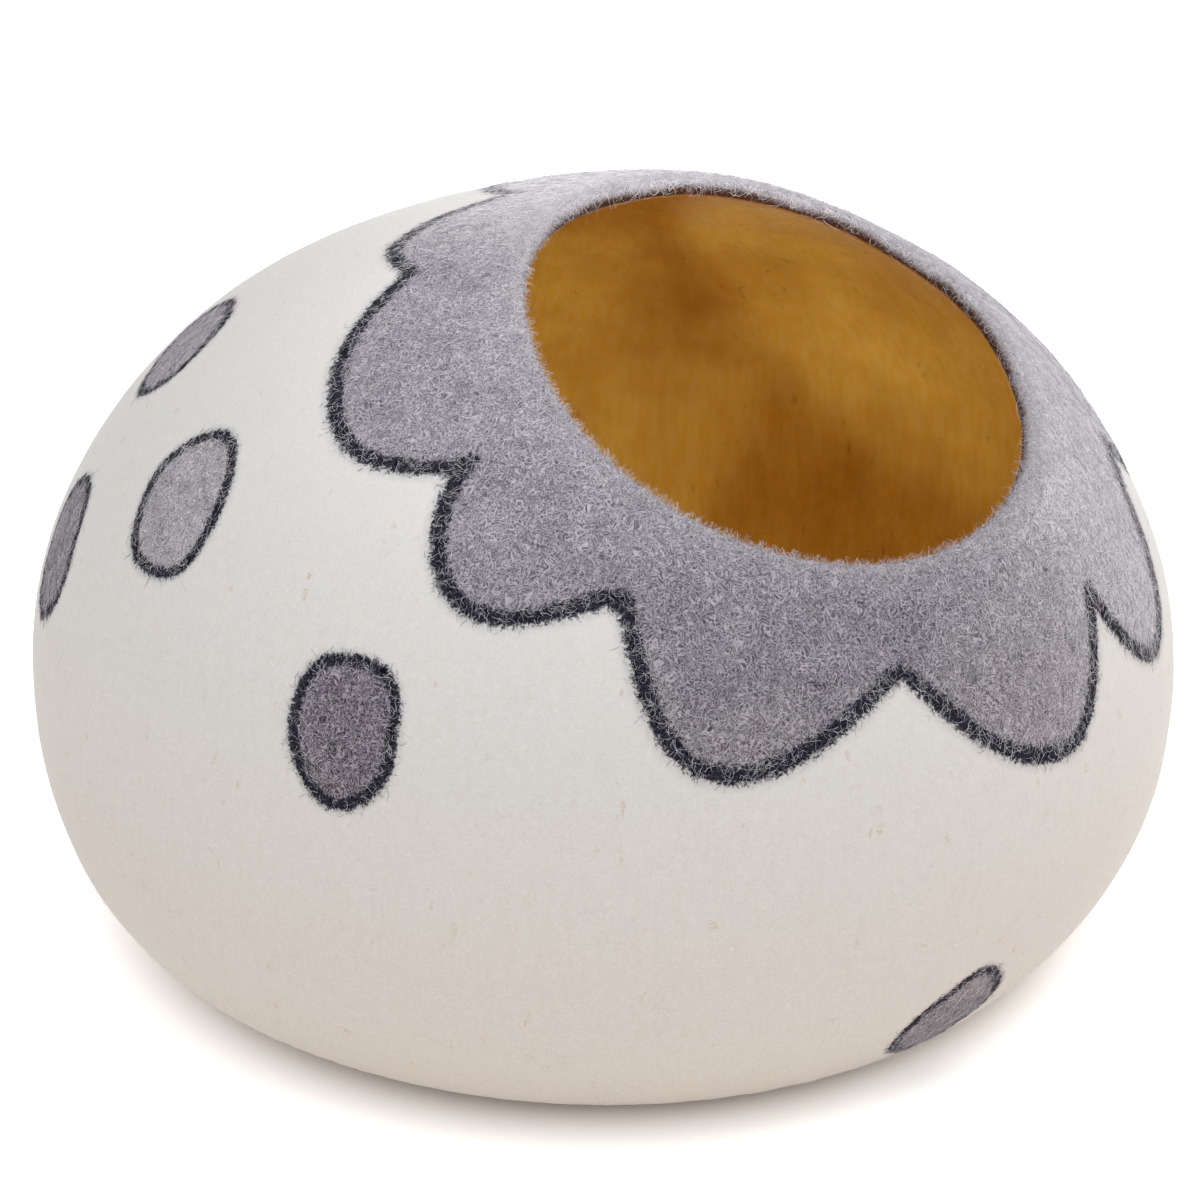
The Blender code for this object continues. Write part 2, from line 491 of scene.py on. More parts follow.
def collar_reach(clock):
    """Degrees from the mouth's middle to the collar's outline, at clock angles in degrees."""
    clock = (np.asarray(clock) - SCALLOPS[0].notch_clock) % 360 + SCALLOPS[0].notch_clock
    reach = np.zeros(clock.shape)
    following = SCALLOPS[1:] + (SCALLOPS[0]._replace(notch_clock=SCALLOPS[0].notch_clock + 360),)
    for hump, after in zip(SCALLOPS, following):
        rising = (clock >= hump.notch_clock) & (clock < hump.tip_clock)
        falling = (clock >= hump.tip_clock) & (clock < after.notch_clock)
        away = (hump.tip_clock - clock) / (hump.tip_clock - hump.notch_clock)
        swell = np.cos(np.pi / 2 * np.clip(away, 0, 1)) ** hump.before
        reach = np.where(rising, hump.notch_reach + (hump.tip_reach - hump.notch_reach) * swell, reach)
        away = (clock - hump.tip_clock) / (after.notch_clock - hump.tip_clock)
        swell = np.cos(np.pi / 2 * np.clip(away, 0, 1)) ** hump.after
        reach = np.where(falling, after.notch_reach + (hump.tip_reach - after.notch_reach) * swell, reach)
    return reach


reaches = collar_reach(np.arange(360))
print("the collar reaches from", round(reaches.min(), 1), "to", round(reaches.max(), 1), "degrees")

# %% [markdown]
# The spots are rounded ovals, each a little different: tall and wide in metres, leaning, narrower at one
# end, and paler or darker, partly as painted light: the spot that faces the camera is painted darkest. An
# ellipse would look drawn with a compass, so its squareness is a little above two, and soft lumps move its
# edge.

# %% The spots
Spot = namedtuple("Spot", "heading height tall wide lean narrow frost")
# the last number of each spot is its paleness, partly painted light
SPOTS = (
    Spot(-110.0, 0.2320, tall=0.062, wide=0.049, lean=26, narrow=0.07, frost=0.82),
    Spot(-77.4, 0.1843, tall=0.056, wide=0.043, lean=5, narrow=0.02, frost=-0.30),
    Spot(-144.8, 0.2565, tall=0.054, wide=0.045, lean=56, narrow=-0.04, frost=0.60),
    Spot(-130.5, 0.1828, tall=0.060, wide=0.042, lean=36, narrow=0.10, frost=0.30),
    Spot(-14.0, 0.0365, tall=0.045, wide=0.052, lean=36, narrow=-0.12, frost=0.30),
    Spot(55.0, 0.112, tall=0.050, wide=0.044, lean=-14, narrow=0.08, frost=0.3),
    Spot(78.0, 0.190, tall=0.056, wide=0.043, lean=9, narrow=0.00, frost=0.4),
    Spot(92.0, 0.070, tall=0.046, wide=0.056, lean=-6, narrow=0.05, frost=0.1),
    Spot(117.0, 0.180, tall=0.054, wide=0.044, lean=15, narrow=0.08, frost=0.4),
    Spot(143.0, 0.110, tall=0.050, wide=0.046, lean=-10, narrow=0.00, frost=0.2),
    Spot(172.0, 0.205, tall=0.056, wide=0.043, lean=6, narrow=0.08, frost=0.5),
    Spot(-171.0, 0.078, tall=0.044, wide=0.058, lean=10, narrow=0.00, frost=0.2),
)
SPOT_SQUARENESS = 2.3
SPOT_NEAR = 0.07            # a spot only colours the wall this close to its middle
SPOT_LINE = 0.72            # how thick a spot's outline is, where the collar's is 1
SPOT_LUMPS = ((0.03, 3, 1), (0.02, 5, 2))       # size, number round the spot and turn of its soft lumps


def skin_point(unit):
    hit = OUTER_SKIN.ray_cast(GIRTH_MIDDLE + Vector(unit) * FAR, -Vector(unit))
    return hit[0], hit[1]


def wall_at(heading, height):
    """Climbs along a heading until the outer skin is that high."""
    heading = math.radians(heading)
    low, high = -math.pi / 2, math.pi / 2
    for _ in range(30):
        climb = (low + high) / 2
        unit = (math.sin(heading) * math.cos(climb), -math.cos(heading) * math.cos(climb), math.sin(climb))
        place, normal = skin_point(unit)
        if place.z < height:
            low = climb
        else:
            high = climb
    return place, normal


def spot_distance(places, spot):
    """Distance from a spot's outline, below zero inside it and large far away from it."""
    middle, normal = wall_at(spot.heading, spot.height)
    side = Vector((0, 0, 1)).cross(normal).normalized()
    up = normal.cross(side)
    turn = Matrix.Rotation(math.radians(spot.lean), 3, normal)
    side, up = turn @ side, turn @ up
    offset = places - np.array(middle)
    across, along = offset @ np.array(side), offset @ np.array(up)
    bearing = np.arctan2(along, across)
    lump = 1 + sum(size * np.cos(waves * bearing + turn * spot.heading) for size, waves, turn in SPOT_LUMPS)
    lump = lump + spot.narrow * np.sin(bearing)
    outline = (np.abs(np.cos(bearing) / (spot.wide / 2)) ** SPOT_SQUARENESS
               + np.abs(np.sin(bearing) / (spot.tall / 2)) ** SPOT_SQUARENESS) ** (-1 / SPOT_SQUARENESS)
    distance = (np.hypot(across, along) - outline * lump) / SPOT_LINE
    return np.where(np.linalg.norm(offset, axis=1) < SPOT_NEAR, distance, SPOT_NEAR)


print("spots", len(SPOTS), "tallest", max(spot.tall for spot in SPOTS) / MM, "mm")

# %% Lines on the wall
COLLAR_STEP = 0.1           # degrees round the mouth between the points of the collar's outline
LIP_STEP = 0.5
LIP_MIDDLE = 0.6            # degrees from the mouth's edge to the top of the rounded lip


def curve_tree(reach_of, step):
    """The points of a line round the mouth, laid on the outer skin."""
    clocks = np.arange(-180, 180, step)
    units = direction(np.radians(clocks), np.radians(reach_of(clocks)))
    tree = KDTree(len(clocks))
    for number, unit in enumerate(units):
        tree.insert(skin_point(unit)[0], number)
    tree.balance()
    return tree


COLLAR_LINE = curve_tree(collar_reach, COLLAR_STEP)
LIP_LINE = curve_tree(lambda clocks: mouth_edge(np.radians(clocks)) + LIP_MIDDLE, LIP_STEP)


def mouth_angles(places):
    """Clock angle and reach of points, both in degrees."""
    local = (places - np.array(GIRTH_MIDDLE)) @ np.array(LEAN)
    reach = np.degrees(np.arccos(local[:, 2] / np.linalg.norm(local, axis=1)))
    return np.degrees(np.arctan2(local[:, 0], -local[:, 1])), reach


print("points on the collar's outline", round(360 / COLLAR_STEP))

# %% [markdown]
# The grey wool is frosted with white fibres on the far side and towards the right, and its paleness is also
# painted light: it is painted darkest in front, where it faces the camera, and palest where loose fibres
# catch light at a low angle.
# A number by clock angle says how pale it is. Above one, white fibres cover the outline too. On the
# inside the same number says how pale the mustard wool is: pale all over, with soft darker patches, and with
# painted shade and painted light in it.

# %% How pale the wool is
# paleness round the mouth, partly painted light: low where the grey faces the camera, high on the far side
# and the right
COLLAR_FROST_AND_PAINTED_LIGHT = ((-168, 0.95), (-150, 0.52), (-125, 0.50), (-84, 0.36), (-50, 0.24), (-28, 0.15), (-5, 0.52),
                (10, 0.95), (24, 1.20), (50, 1.35), (80, 1.20), (120, 1.20), (155, 1.60), (176, 1.55))
RIM_FROST = 0.50            # how much paler the wool is right at the lip
RIM_FROST_REACH = 10 * MM
SPOT_FROST_REACH = 10 * MM
LINE_WIDTHS = ((18, 1.0), (30, 1.5), (48, 1.5), (62, 1.0))      # the outline is broader on the right
PALE_MUSTARD = 0.80
LIP_PAINTED_SHADE = 0.8             # how much painted shade darkens the mustard wool right under the lip
LIP_PAINTED_SHADE_REACH = 6 * MM
Patch = namedtuple("Patch", "heading height spread change")
# broad patches of the mustard wool, partly painted: the dark one deep in the far wall is painted shade, the
# light ones near the far lip and on the right are painted light
MUSTARD_PATCHES_AND_PAINTED_LIGHT = (
    Patch(117, 0.202, spread=0.036, change=-0.62),
    Patch(105, 0.225, spread=0.022, change=-0.30),
    Patch(125, 0.150, spread=0.035, change=-0.25),
    Patch(78, 0.190, spread=0.050, change=0.25),
    Patch(112, 0.270, spread=0.040, change=0.40),
    Patch(-60, 0.160, spread=0.050, change=-0.50),
    Patch(10, 0.090, spread=0.050, change=-0.40),
    Patch(-150, 0.120, spread=0.045, change=-0.45),
)


def near(distance, middle, width):
    """One where a distance has its middle value, fading to nothing on both sides."""
    return np.exp(-((distance - middle) / width) ** 2)


def line_width(clocks):
    return np.interp(clocks, *zip(*LINE_WIDTHS))


def collar_frost_and_painted_light(clocks, rim):
    angles, frosts = zip(*COLLAR_FROST_AND_PAINTED_LIGHT)
    round_the_mouth = np.interp(clocks, angles, frosts, period=360)
    return round_the_mouth + RIM_FROST * (1 - round_the_mouth) * np.exp(-rim / RIM_FROST_REACH)


def mustard_tone_and_painted_light(places, rim):
    tone = np.full(len(places), PALE_MUSTARD)
    for patch in MUSTARD_PATCHES_AND_PAINTED_LIGHT:
        middle, normal = wall_at(patch.heading, patch.height)
        away = np.linalg.norm(places - np.array(middle), axis=1)
        tone = tone + patch.change * near(away, 0, patch.spread)
    # painted shade right under the lip
    return tone - LIP_PAINTED_SHADE * near(rim, FELT, LIP_PAINTED_SHADE_REACH)


print("dark and light patches inside", len(MUSTARD_PATCHES_AND_PAINTED_LIGHT))

# %% The numbers on the wall
INNER_SIDE = 0.7            # the share of the felt's thickness past which a point is inside


def coloured_wool(places, rim, depth):
    """The distance from the outline and the paleness, with the painted light and shade in it, for every
    point.
    """
    clocks, reaches = mouth_angles(places)
    nearest = np.array([COLLAR_LINE.find(place)[2] for place in places])
    edge = np.where(reaches < collar_reach(clocks), -nearest, nearest) / line_width(clocks)
    frost = collar_frost_and_painted_light(clocks, rim)
    for spot in SPOTS:
        distance = spot_distance(places, spot)
        frost = np.where(distance < SPOT_FROST_REACH, spot.frost, frost)
        edge = np.minimum(edge, distance)
    return edge, np.where(depth > INNER_SIDE * FELT, mustard_tone_and_painted_light(places, rim), frost)


def store(obj, name, values):
    layer = obj.data.attributes.new(name, "FLOAT", "POINT")
    layer.data.foreach_set("value", np.asarray(values, dtype=np.float32))


depth = np.array([OUTER_SKIN.find_nearest(Vector(place))[3] for place in wall_places])
rim = np.array([LIP_LINE.find(place)[2] for place in wall_places])
edge, frost = coloured_wool(wall_places, rim, depth)
store(wall, "edge", edge)
store(wall, "depth", depth)
store(wall, "frost", frost)
print("depth", depth.min(), depth.max(), "rim", rim.min(), rim.max())

# %% [markdown]
# ## The rumpled inside
#
# The inside of a real cave was never rubbed as hard as the outside, so it is rumpled: broad soft swells a
# millimetre or two high, which start a little way in from the lip. Cloth simulation would be slow for
# swells as soft as these, and felt this thick has no folds. So the inner points are moved along their
# normals by two sizes of noise.

# %% Rumpling the inside
INNER_RIPPLES = (Ripple(size=0.080, depth=3.2 * MM), Ripple(size=0.030, depth=0.9 * MM))
INNER_START = (6 * MM, 40 * MM)         # distances from the lip between which the swells come up
LINING_START = (7.2 * MM, 7.8 * MM)     # depths between which a point counts as the lining's surface


def point_normals(mesh):
    normals = np.empty(len(mesh.vertices) * 3, dtype=np.float32)
    mesh.vertices.foreach_get("normal", normals)
    return normals.reshape(-1, 3)


def rumple_inside(places, normals):
    share = smooth_step(*LINING_START, depth) * smooth_step(*INNER_START, rim)
    moved = places.copy()
    for index in np.flatnonzero(share > 0):
        push = sum(r.depth * noise.noise(Vector(places[index] / r.size)) for r in INNER_RIPPLES)
        moved[index] += normals[index] * push * share[index]
    return moved


even_places = wall_places
wall_places = rumple_inside(even_places, point_normals(wall.data))
wall.data.vertices.foreach_set("co", wall_places.ravel())
wall.data.update()
largest = float(np.abs(wall_places - even_places).max())
print("the inside moves by up to", round(largest / MM, 1), "mm along an axis")

# %% [markdown]
# ## The wool
#
# Felted wool is a mat of crimped fibres. Seen from a step away it is a fine speckle of lit fibres over
# darker gaps, and closer up the fibres show as short curls. Making every one of them as a mesh would be
# far too much, so most of the wool is a pattern, and only the loose ones on top are real.
#
# Noise that is bent by a second noise is folded at its middle value, and the folds are thin curly lines:
# the strands. A finer noise gives the gaps between them, whose darker colour is partly painted shade falling
# between the fibres. One shader node group makes both. It puts out masks rather than colours, so it is worked
# out once for all the wool of the outside.

# %% Helpers for shader nodes
def new_group(name, inputs, outputs):
    """A shader node group whose inputs are given as (name, kind, start value)."""
    tree = bpy.data.node_groups.new(name, "ShaderNodeTree")
    for label, kind, value in inputs:
        socket = tree.interface.new_socket(name=label, in_out="INPUT", socket_type=kind)
        if value is not None:
            socket.default_value = value
    for label, kind in outputs:
        tree.interface.new_socket(name=label, in_out="OUTPUT", socket_type=kind)
    return tree, tree.nodes.new("NodeGroupInput"), tree.nodes.new("NodeGroupOutput")


def plug(tree, value, socket):
    """Links a socket, or sets a plain value."""
    if isinstance(value, (int, float, tuple)):
        socket.default_value = value
    else:
        tree.links.new(value, socket)


def math_node(tree, operation, first, second=0.0, third=0.0, clamp=False):
    node = tree.nodes.new("ShaderNodeMath")
    node.operation = operation
    node.use_clamp = clamp
    for number, value in enumerate((first, second, third)):
        plug(tree, value, node.inputs[number])
    return node.outputs[0]


def vector_node(tree, operation, first, second, third=None):
    node = tree.nodes.new("ShaderNodeVectorMath")
    node.operation = operation
    plug(tree, first, node.inputs[0])
    plug(tree, second, node.inputs[1])
    if third is not None:
        plug(tree, third, node.inputs[2])
    return node.outputs[0]


def noise_node(tree, vector, scale, detail=0.0):
    node = tree.nodes.new("ShaderNodeTexNoise")
    node.inputs["Detail"].default_value = detail
    tree.links.new(vector, node.inputs["Vector"])
    plug(tree, scale, node.inputs["Scale"])
    return node


def mix_colours(tree, share, first, second, blend="MIX"):
    node = tree.nodes.new("ShaderNodeMix")
    node.data_type = "RGBA"
    node.blend_type = blend
    for socket, value in ((node.inputs[0], share), (node.inputs[6], first), (node.inputs[7], second)):
        plug(tree, value, socket)
    return node.outputs[2]


def bent(tree, vector, scale, amount):
    """Pushes a vector about with noise, so that what is drawn with it curls."""
    warp = noise_node(tree, vector, scale).outputs["Color"]
    push = vector_node(tree, "SUBTRACT", warp, (0.5, 0.5, 0.5))
    return vector_node(tree, "MULTIPLY_ADD", push, (amount, amount, amount), vector)


def folded(tree, value, sharpness):
    """One on the line where a noise crosses its middle value, falling to nothing beside it."""
    away = math_node(tree, "ABSOLUTE", math_node(tree, "SUBTRACT", value, 0.5))
    return math_node(tree, "MULTIPLY_ADD", away, -sharpness, 1.0, clamp=True)


print("shader helpers are ready")

# %% The wool group
CURL = 520.0                # how many curls fit in a metre of wool
CURL_BEND = (210.0, 0.006)  # scale and push of the noise that bends the strands
BROAD_SHARPNESS = 14.0
FINE_SHARPNESS = 11.0
FINE_CURL = 1.7             # how much finer the fine strands are
GRAIN_CURL = 1.35
GAP_STRENGTH = 3.2
GAP_START = 1.95
STRAND_HEIGHT = 0.6


def wool_group():
    tree, given, out = new_group(
        "felted wool",
        [("Vector", "NodeSocketVector", None), ("Curl", "NodeSocketFloat", CURL)],
        [("Strands", "NodeSocketFloat"), ("Gaps", "NodeSocketFloat"), ("Height", "NodeSocketFloat")])
    curl = given.outputs["Curl"]
    vector = bent(tree, given.outputs["Vector"], *CURL_BEND)
    broad = folded(tree, noise_node(tree, vector, curl).outputs[0], BROAD_SHARPNESS)
    finer = math_node(tree, "MULTIPLY", curl, FINE_CURL)
    fine = folded(tree, noise_node(tree, vector, finer).outputs[0], FINE_SHARPNESS)
    strands = math_node(tree, "MAXIMUM", broad, fine)
    grain = noise_node(tree, vector, math_node(tree, "MULTIPLY", curl, GRAIN_CURL), 2.0).outputs[0]
    gaps = math_node(tree, "MULTIPLY_ADD", grain, -GAP_STRENGTH, GAP_START, clamp=True)
    tree.links.new(strands, out.inputs["Strands"])
    tree.links.new(gaps, out.inputs["Gaps"])
    tree.links.new(math_node(tree, "MULTIPLY_ADD", strands, STRAND_HEIGHT, grain), out.inputs["Height"])
    return tree


WOOL = wool_group()
print("wool group", len(WOOL.nodes), "nodes")

# %% [markdown]
# ## The colours of the wool
#
# The real colours are layers of dyed wool that were felted into each other, so none of them ends in a
# clean edge, and none is one flat colour. The wall could carry a separate material for each colour, but
# then the edges would follow its faces. One material blends them all instead. Each wool has a gap colour,
# which is darker wool and partly painted shade between the fibres, a body colour and a strand colour.

# %% The wools
Wool = namedtuple("Wool", "gap body strand")
CREAM = Wool(gap=(0.550, 0.536, 0.520), body=(0.580, 0.568, 0.556), strand=(0.600, 0.590, 0.580))
GREY = Wool(gap=(0.026, 0.020, 0.028), body=(0.086, 0.071, 0.091), strand=(0.348, 0.318, 0.364))
SILVER = Wool(gap=(0.150, 0.137, 0.154), body=(0.300, 0.281, 0.307), strand=(0.560, 0.535, 0.570))
# the palest grey: frosted wool, and painted light where the grey turns away from the camera
FROSTED_AND_PAINTED_LIGHT = Wool(gap=(0.340, 0.330, 0.340), body=(0.470, 0.455, 0.465), strand=(0.640, 0.630, 0.635))
SMOKE = Wool(gap=(0.20, 0.20, 0.23), body=(0.24, 0.24, 0.27), strand=(0.34, 0.34, 0.37))
CHARCOAL = Wool(gap=(0.002, 0.002, 0.004), body=(0.007, 0.007, 0.012), strand=(0.045, 0.044, 0.062))
MUSTARD = Wool(gap=(0.46, 0.190, 0.016), body=(0.90, 0.575, 0.086), strand=(0.95, 0.655, 0.14))
LIP_SHADOW_AND_FLECK_BROWN = (0.055, 0.023, 0.013, 1.0)      # painted shadow along the inner side of the lip, and the colour of the flecks in the lining
UNDYED = (0.50, 0.42, 0.32, 1.0)            # small flecks and faint streaks in the cream
WHITE = (1.0, 1.0, 1.0, 1.0)
FOOT_PAINTED_SHADE = (0.87, 0.785, 0.715, 1.0)       # painted shade over the outer wool at the foot, warm like light bounced from the floor


def opaque(colour):
    return (*colour, 1.0)


print("body of the cream wool", CREAM.body, "and of the charcoal wool", CHARCOAL.body)

# %% Helpers for the wall's material
Grain = namedtuple("Grain", "scale detail height", defaults=(0.0, 1.0))     # height below 1: drawn upright


def attribute(tree, name):
    node = tree.nodes.new("ShaderNodeAttribute")
    node.attribute_name = name
    return node.outputs["Fac"]


def step_mask(tree, value, low, high):
    """0 below low, 1 above high and smooth in between."""
    node = tree.nodes.new("ShaderNodeMapRange")
    node.interpolation_type = "SMOOTHSTEP"
    tree.links.new(value, node.inputs["Value"])
    node.inputs["From Min"].default_value = low
    node.inputs["From Max"].default_value = high
    return node.outputs[0]


def grained(tree, coords, grain):
    """Noise of one grain, from 0 to 1."""
    if grain.height != 1.0:
        coords = vector_node(tree, "MULTIPLY", coords, (1.0, 1.0, grain.height))
    return noise_node(tree, coords, grain.scale, grain.detail).outputs[0]


def either_way(tree, value, width):
    """Turns a value from 0 to 1 into one from minus half the width to plus half of it."""
    return math_node(tree, "MULTIPLY_ADD", value, width, -width / 2)


def new_material(name, roughness, sheen, sheen_spread=0.5):
    mat = bpy.data.materials.new(name)
    mat.use_nodes = True
    shader = mat.node_tree.nodes["Principled BSDF"]
    shader.inputs["Roughness"].default_value = roughness
    shader.inputs["Specular IOR Level"].default_value = 0.05
    shader.inputs["Sheen Weight"].default_value = sheen
    shader.inputs["Sheen Roughness"].default_value = sheen_spread
    return mat, mat.node_tree, shader


print("grains are", Grain._fields)

# %% [markdown]
# The masks between the outer colours come from the stored distance `edge`. A mask straight from it would
# have a drawn look. So noise moves the distance first: a coarse curled one frays the edge, and one as
# fine as single fibres makes it fuzzy. Beyond the outline a little charcoal wool thins out over the cream.

# %% Masks across the wall
FRAY = 6.0 * MM             # how far the coarse noise moves the edges, from end to end
FRAY_GRAIN = Grain(480.0, 2.0)
FRAY_BEND = (300.0, 0.004)  # scale and push of the noise that curls it
FUZZ = 3.0 * MM             # how far the fine noise moves them
FUZZ_GRAIN = Grain(1300.0)
EDGE_SOFT = 0.8 * MM        # how softly cream turns to grey, to each side
LINE_HALF = 3.5 * MM        # half of the outline's thickness
LINE_SOFT = 1.3 * MM
HAZE = 0.38                 # how strongly the charcoal wool shows over the cream
HAZE_REACH = (3.0 * MM, 8.5 * MM)
Masks = namedtuple("Masks", "fray edge inside line haze")


def edge_masks(tree, coords):
    fray = either_way(tree, grained(tree, bent(tree, coords, *FRAY_BEND), FRAY_GRAIN), FRAY)
    fuzz = either_way(tree, grained(tree, coords, FUZZ_GRAIN), FUZZ)
    drawn = attribute(tree, "edge")
    edge = math_node(tree, "ADD", drawn, math_node(tree, "ADD", fray, fuzz))
    inside = step_mask(tree, math_node(tree, "MULTIPLY", edge, -1.0), -EDGE_SOFT, EDGE_SOFT)
    beside = math_node(tree, "MULTIPLY", math_node(tree, "ABSOLUTE", edge), -1.0)
    line = step_mask(tree, beside, -LINE_HALF - LINE_SOFT, LINE_SOFT - LINE_HALF)
    haze = step_mask(tree, math_node(tree, "MULTIPLY_ADD", fray, 0.5, drawn), *HAZE_REACH)
    haze = math_node(tree, "MULTIPLY", math_node(tree, "SUBTRACT", 1.0, haze), HAZE)
    return Masks(fray, edge, inside, line, haze)


print("the outline is", 2 * LINE_HALF / MM, "mm thick, and its edges move by", FRAY / MM / 2, "mm each way")

# %% [markdown]
# Through the thickness the colour changes twice, which only the lip shows. A thin dark brown line runs along
# its inner side, where the outer wool ends and the mustard wool begins: a painted shadow under the rounded
# lip. The masks come from the stored
# `depth`, and a broad noise lets the brown start sooner or later.

# %% Masks through the wall
LIP_SHADOW_DEPTH = (0.3 * MM, 5.6 * MM)       # between these depths the painted brown shadow comes up
LIP_SHADOW_WANDER = 0.7                       # how unevenly deep the painted shadow starts
LIP_SHADOW_GAPS = 0.35                        # how much of it fine outer fibres cover
WANDER_GRAIN = Grain(28.0, 1.0)
LINING_DEPTH = (6.6 * MM, 7.4 * MM)     # and between these it turns mustard
LINING_FRAY = 0.2


def depth_masks(tree, coords, fray):
    """Where the painted brown shadow under the lip and the mustard wool show."""
    stored = attribute(tree, "depth")
    wander = grained(tree, coords, WANDER_GRAIN)
    sooner = math_node(tree, "MULTIPLY_ADD", wander, 2 * LIP_SHADOW_WANDER, 1 - LIP_SHADOW_WANDER)
    lip_shadow = step_mask(tree, math_node(tree, "MULTIPLY", stored, sooner), *LIP_SHADOW_DEPTH)
    covered = step_mask(tree, fray, 0.0, FRAY / 2)
    lip_shadow = math_node(tree, "MULTIPLY_ADD", covered, -LIP_SHADOW_GAPS, lip_shadow, clamp=True)
    lining = step_mask(tree, math_node(tree, "MULTIPLY_ADD", fray, LINING_FRAY, stored), *LINING_DEPTH)
    return lip_shadow, lining


# where the painted shadow under the lip starts
print("the brown wool starts between", LIP_SHADOW_DEPTH[0] / MM, "and", LIP_SHADOW_DEPTH[1] / MM, "mm deep")

# %% The colour of the outside
PATCH_GRAIN = Grain(45.0, 2.0)
FROST_PATCHES = 0.7         # how much the frost differs from patch to patch
WHITE_COVER = 0.9           # how much of the outline white fibres can cover
SPECK_GRAIN = Grain(170.0, 1.0, height=0.5)
SPECK_SHARE = (0.70, 0.78)
STREAK_GRAIN = Grain(420.0, 1.0, height=0.12)
STREAK_SHARE = (0.45, 0.75)
STREAKS = 0.22              # how strong the faint upright streaks are
CREAM_START = (2.0 * MM, 6.0 * MM)      # distances from the outline between which the flecks come up
FOOT_PAINTED_SHADE_HEIGHT = 0.26          # above this height the wool has no painted shade


def undyed_share(tree, coords, edge, specks):
    """Flecks and streaks of undyed wool, in the cream alone."""
    streaks = step_mask(tree, grained(tree, coords, STREAK_GRAIN), *STREAK_SHARE)
    streaks = math_node(tree, "MULTIPLY", streaks, STREAKS)
    in_cream = step_mask(tree, edge, *CREAM_START)
    return math_node(tree, "MULTIPLY", math_node(tree, "MAXIMUM", specks, streaks), in_cream)


def with_painted_foot_shade(tree, coords, colour):
    """Paints warm shade over the wool towards the foot, where the floor shades it and bounces warm light onto
    it.
    """
    parts = tree.nodes.new("ShaderNodeSeparateXYZ")
    tree.links.new(coords, parts.inputs[0])
    low = math_node(tree, "SUBTRACT", 1.0, step_mask(tree, parts.outputs["Z"], 0.0, FOOT_PAINTED_SHADE_HEIGHT))
    return mix_colours(tree, 1.0, colour, mix_colours(tree, low, WHITE, FOOT_PAINTED_SHADE), blend="MULTIPLY")


def outer_colour(tree, coords, wool, masks, patches, specks):
    # the stored paleness holds painted light and shade, and random patches vary it
    frost = math_node(tree, "ADD", attribute(tree, "frost"), either_way(tree, patches, FROST_PATCHES))
    white = math_node(tree, "SUBTRACT", frost, 1.0, clamp=True)
    silver = math_node(tree, "ADD", frost, 0.0, clamp=True)
    uncovered = math_node(tree, "MULTIPLY_ADD", white, -WHITE_COVER, 1.0, clamp=True)
    line = math_node(tree, "MULTIPLY", masks.line, uncovered)

    def blended(part):
        """One of the three colours of the wool, over cream, grey and charcoal."""
        grey = mix_colours(tree, silver, opaque(getattr(GREY, part)), opaque(getattr(SILVER, part)))
        grey = mix_colours(tree, white, grey, opaque(getattr(FROSTED_AND_PAINTED_LIGHT, part)))
        cream = mix_colours(tree, masks.haze, opaque(getattr(CREAM, part)), opaque(getattr(SMOKE, part)))
        colour = mix_colours(tree, masks.inside, cream, grey)
        return mix_colours(tree, line, colour, opaque(getattr(CHARCOAL, part)))

    body = mix_colours(tree, undyed_share(tree, coords, masks.edge, specks), blended("body"), UNDYED)
    colour = mix_colours(tree, wool.outputs["Gaps"], body, blended("gap"))
    colour = mix_colours(tree, wool.outputs["Strands"], colour, blended("strand"))
    # painted shade: darker and warmer towards the foot
    return with_painted_foot_shade(tree, coords, colour)


print("flecks show where their noise is above", SPECK_SHARE[0])

# %% [markdown]
# The mustard wool inside is smoother, combed upright and blotchy. Its tone is the stored `frost`, which
# holds the broad patches, some of them painted shade and painted light, and the painted shade under the lip,
# with two noises on top for the small ones.

# %% The colour of the lining
LONG_GRAIN = Grain(260.0, 2.0, height=0.2)
LONG_SHARE = (0.3, 0.7)
MOTTLE_GRAIN = Grain(13.0, 4.0)
MOTTLE_SHARE = (0.42, 0.72)
MOTTLE = 0.30               # how much darker the mottled parts are
TONE_PATCHES = 0.5
LINING_SPECKS = 0.22


def lining_colour(tree, coords, patches, specks):
    strand = step_mask(tree, grained(tree, coords, LONG_GRAIN), *LONG_SHARE)
    gold = mix_colours(tree, strand, opaque(MUSTARD.body), opaque(MUSTARD.strand))
    mottle = step_mask(tree, grained(tree, coords, MOTTLE_GRAIN), *MOTTLE_SHARE)
    tone = math_node(tree, "MULTIPLY_ADD", mottle, -MOTTLE, attribute(tree, "frost"))
    tone = math_node(tree, "ADD", tone, either_way(tree, patches, TONE_PATCHES), clamp=True)
    gold = mix_colours(tree, tone, opaque(MUSTARD.gap), gold)
    return mix_colours(tree, math_node(tree, "MULTIPLY", specks, LINING_SPECKS), gold, LIP_SHADOW_AND_FLECK_BROWN)


print("mustard from", MUSTARD.gap, "to", MUSTARD.strand)

# %% [markdown]
# Felt has no gloss, but its loose ends catch light at a low angle, so the shader is rough with a little
# sheen. The strands also raise the wool in a Bump node, less so on the cream, which was rubbed flatter.
#
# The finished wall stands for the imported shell. It is declared as a sheet of felt. It was never cut flat,
# so its length is the way round the girth and its width the way from the mouth over the side to the
# middle of the foot, and its area is given too.

# %% The wall's material
BUMP_STRENGTH = 0.3
BUMP_DEPTH = 0.8 * MM
CREAM_RELIEF = 0.3          # the share of the relief that the cream has


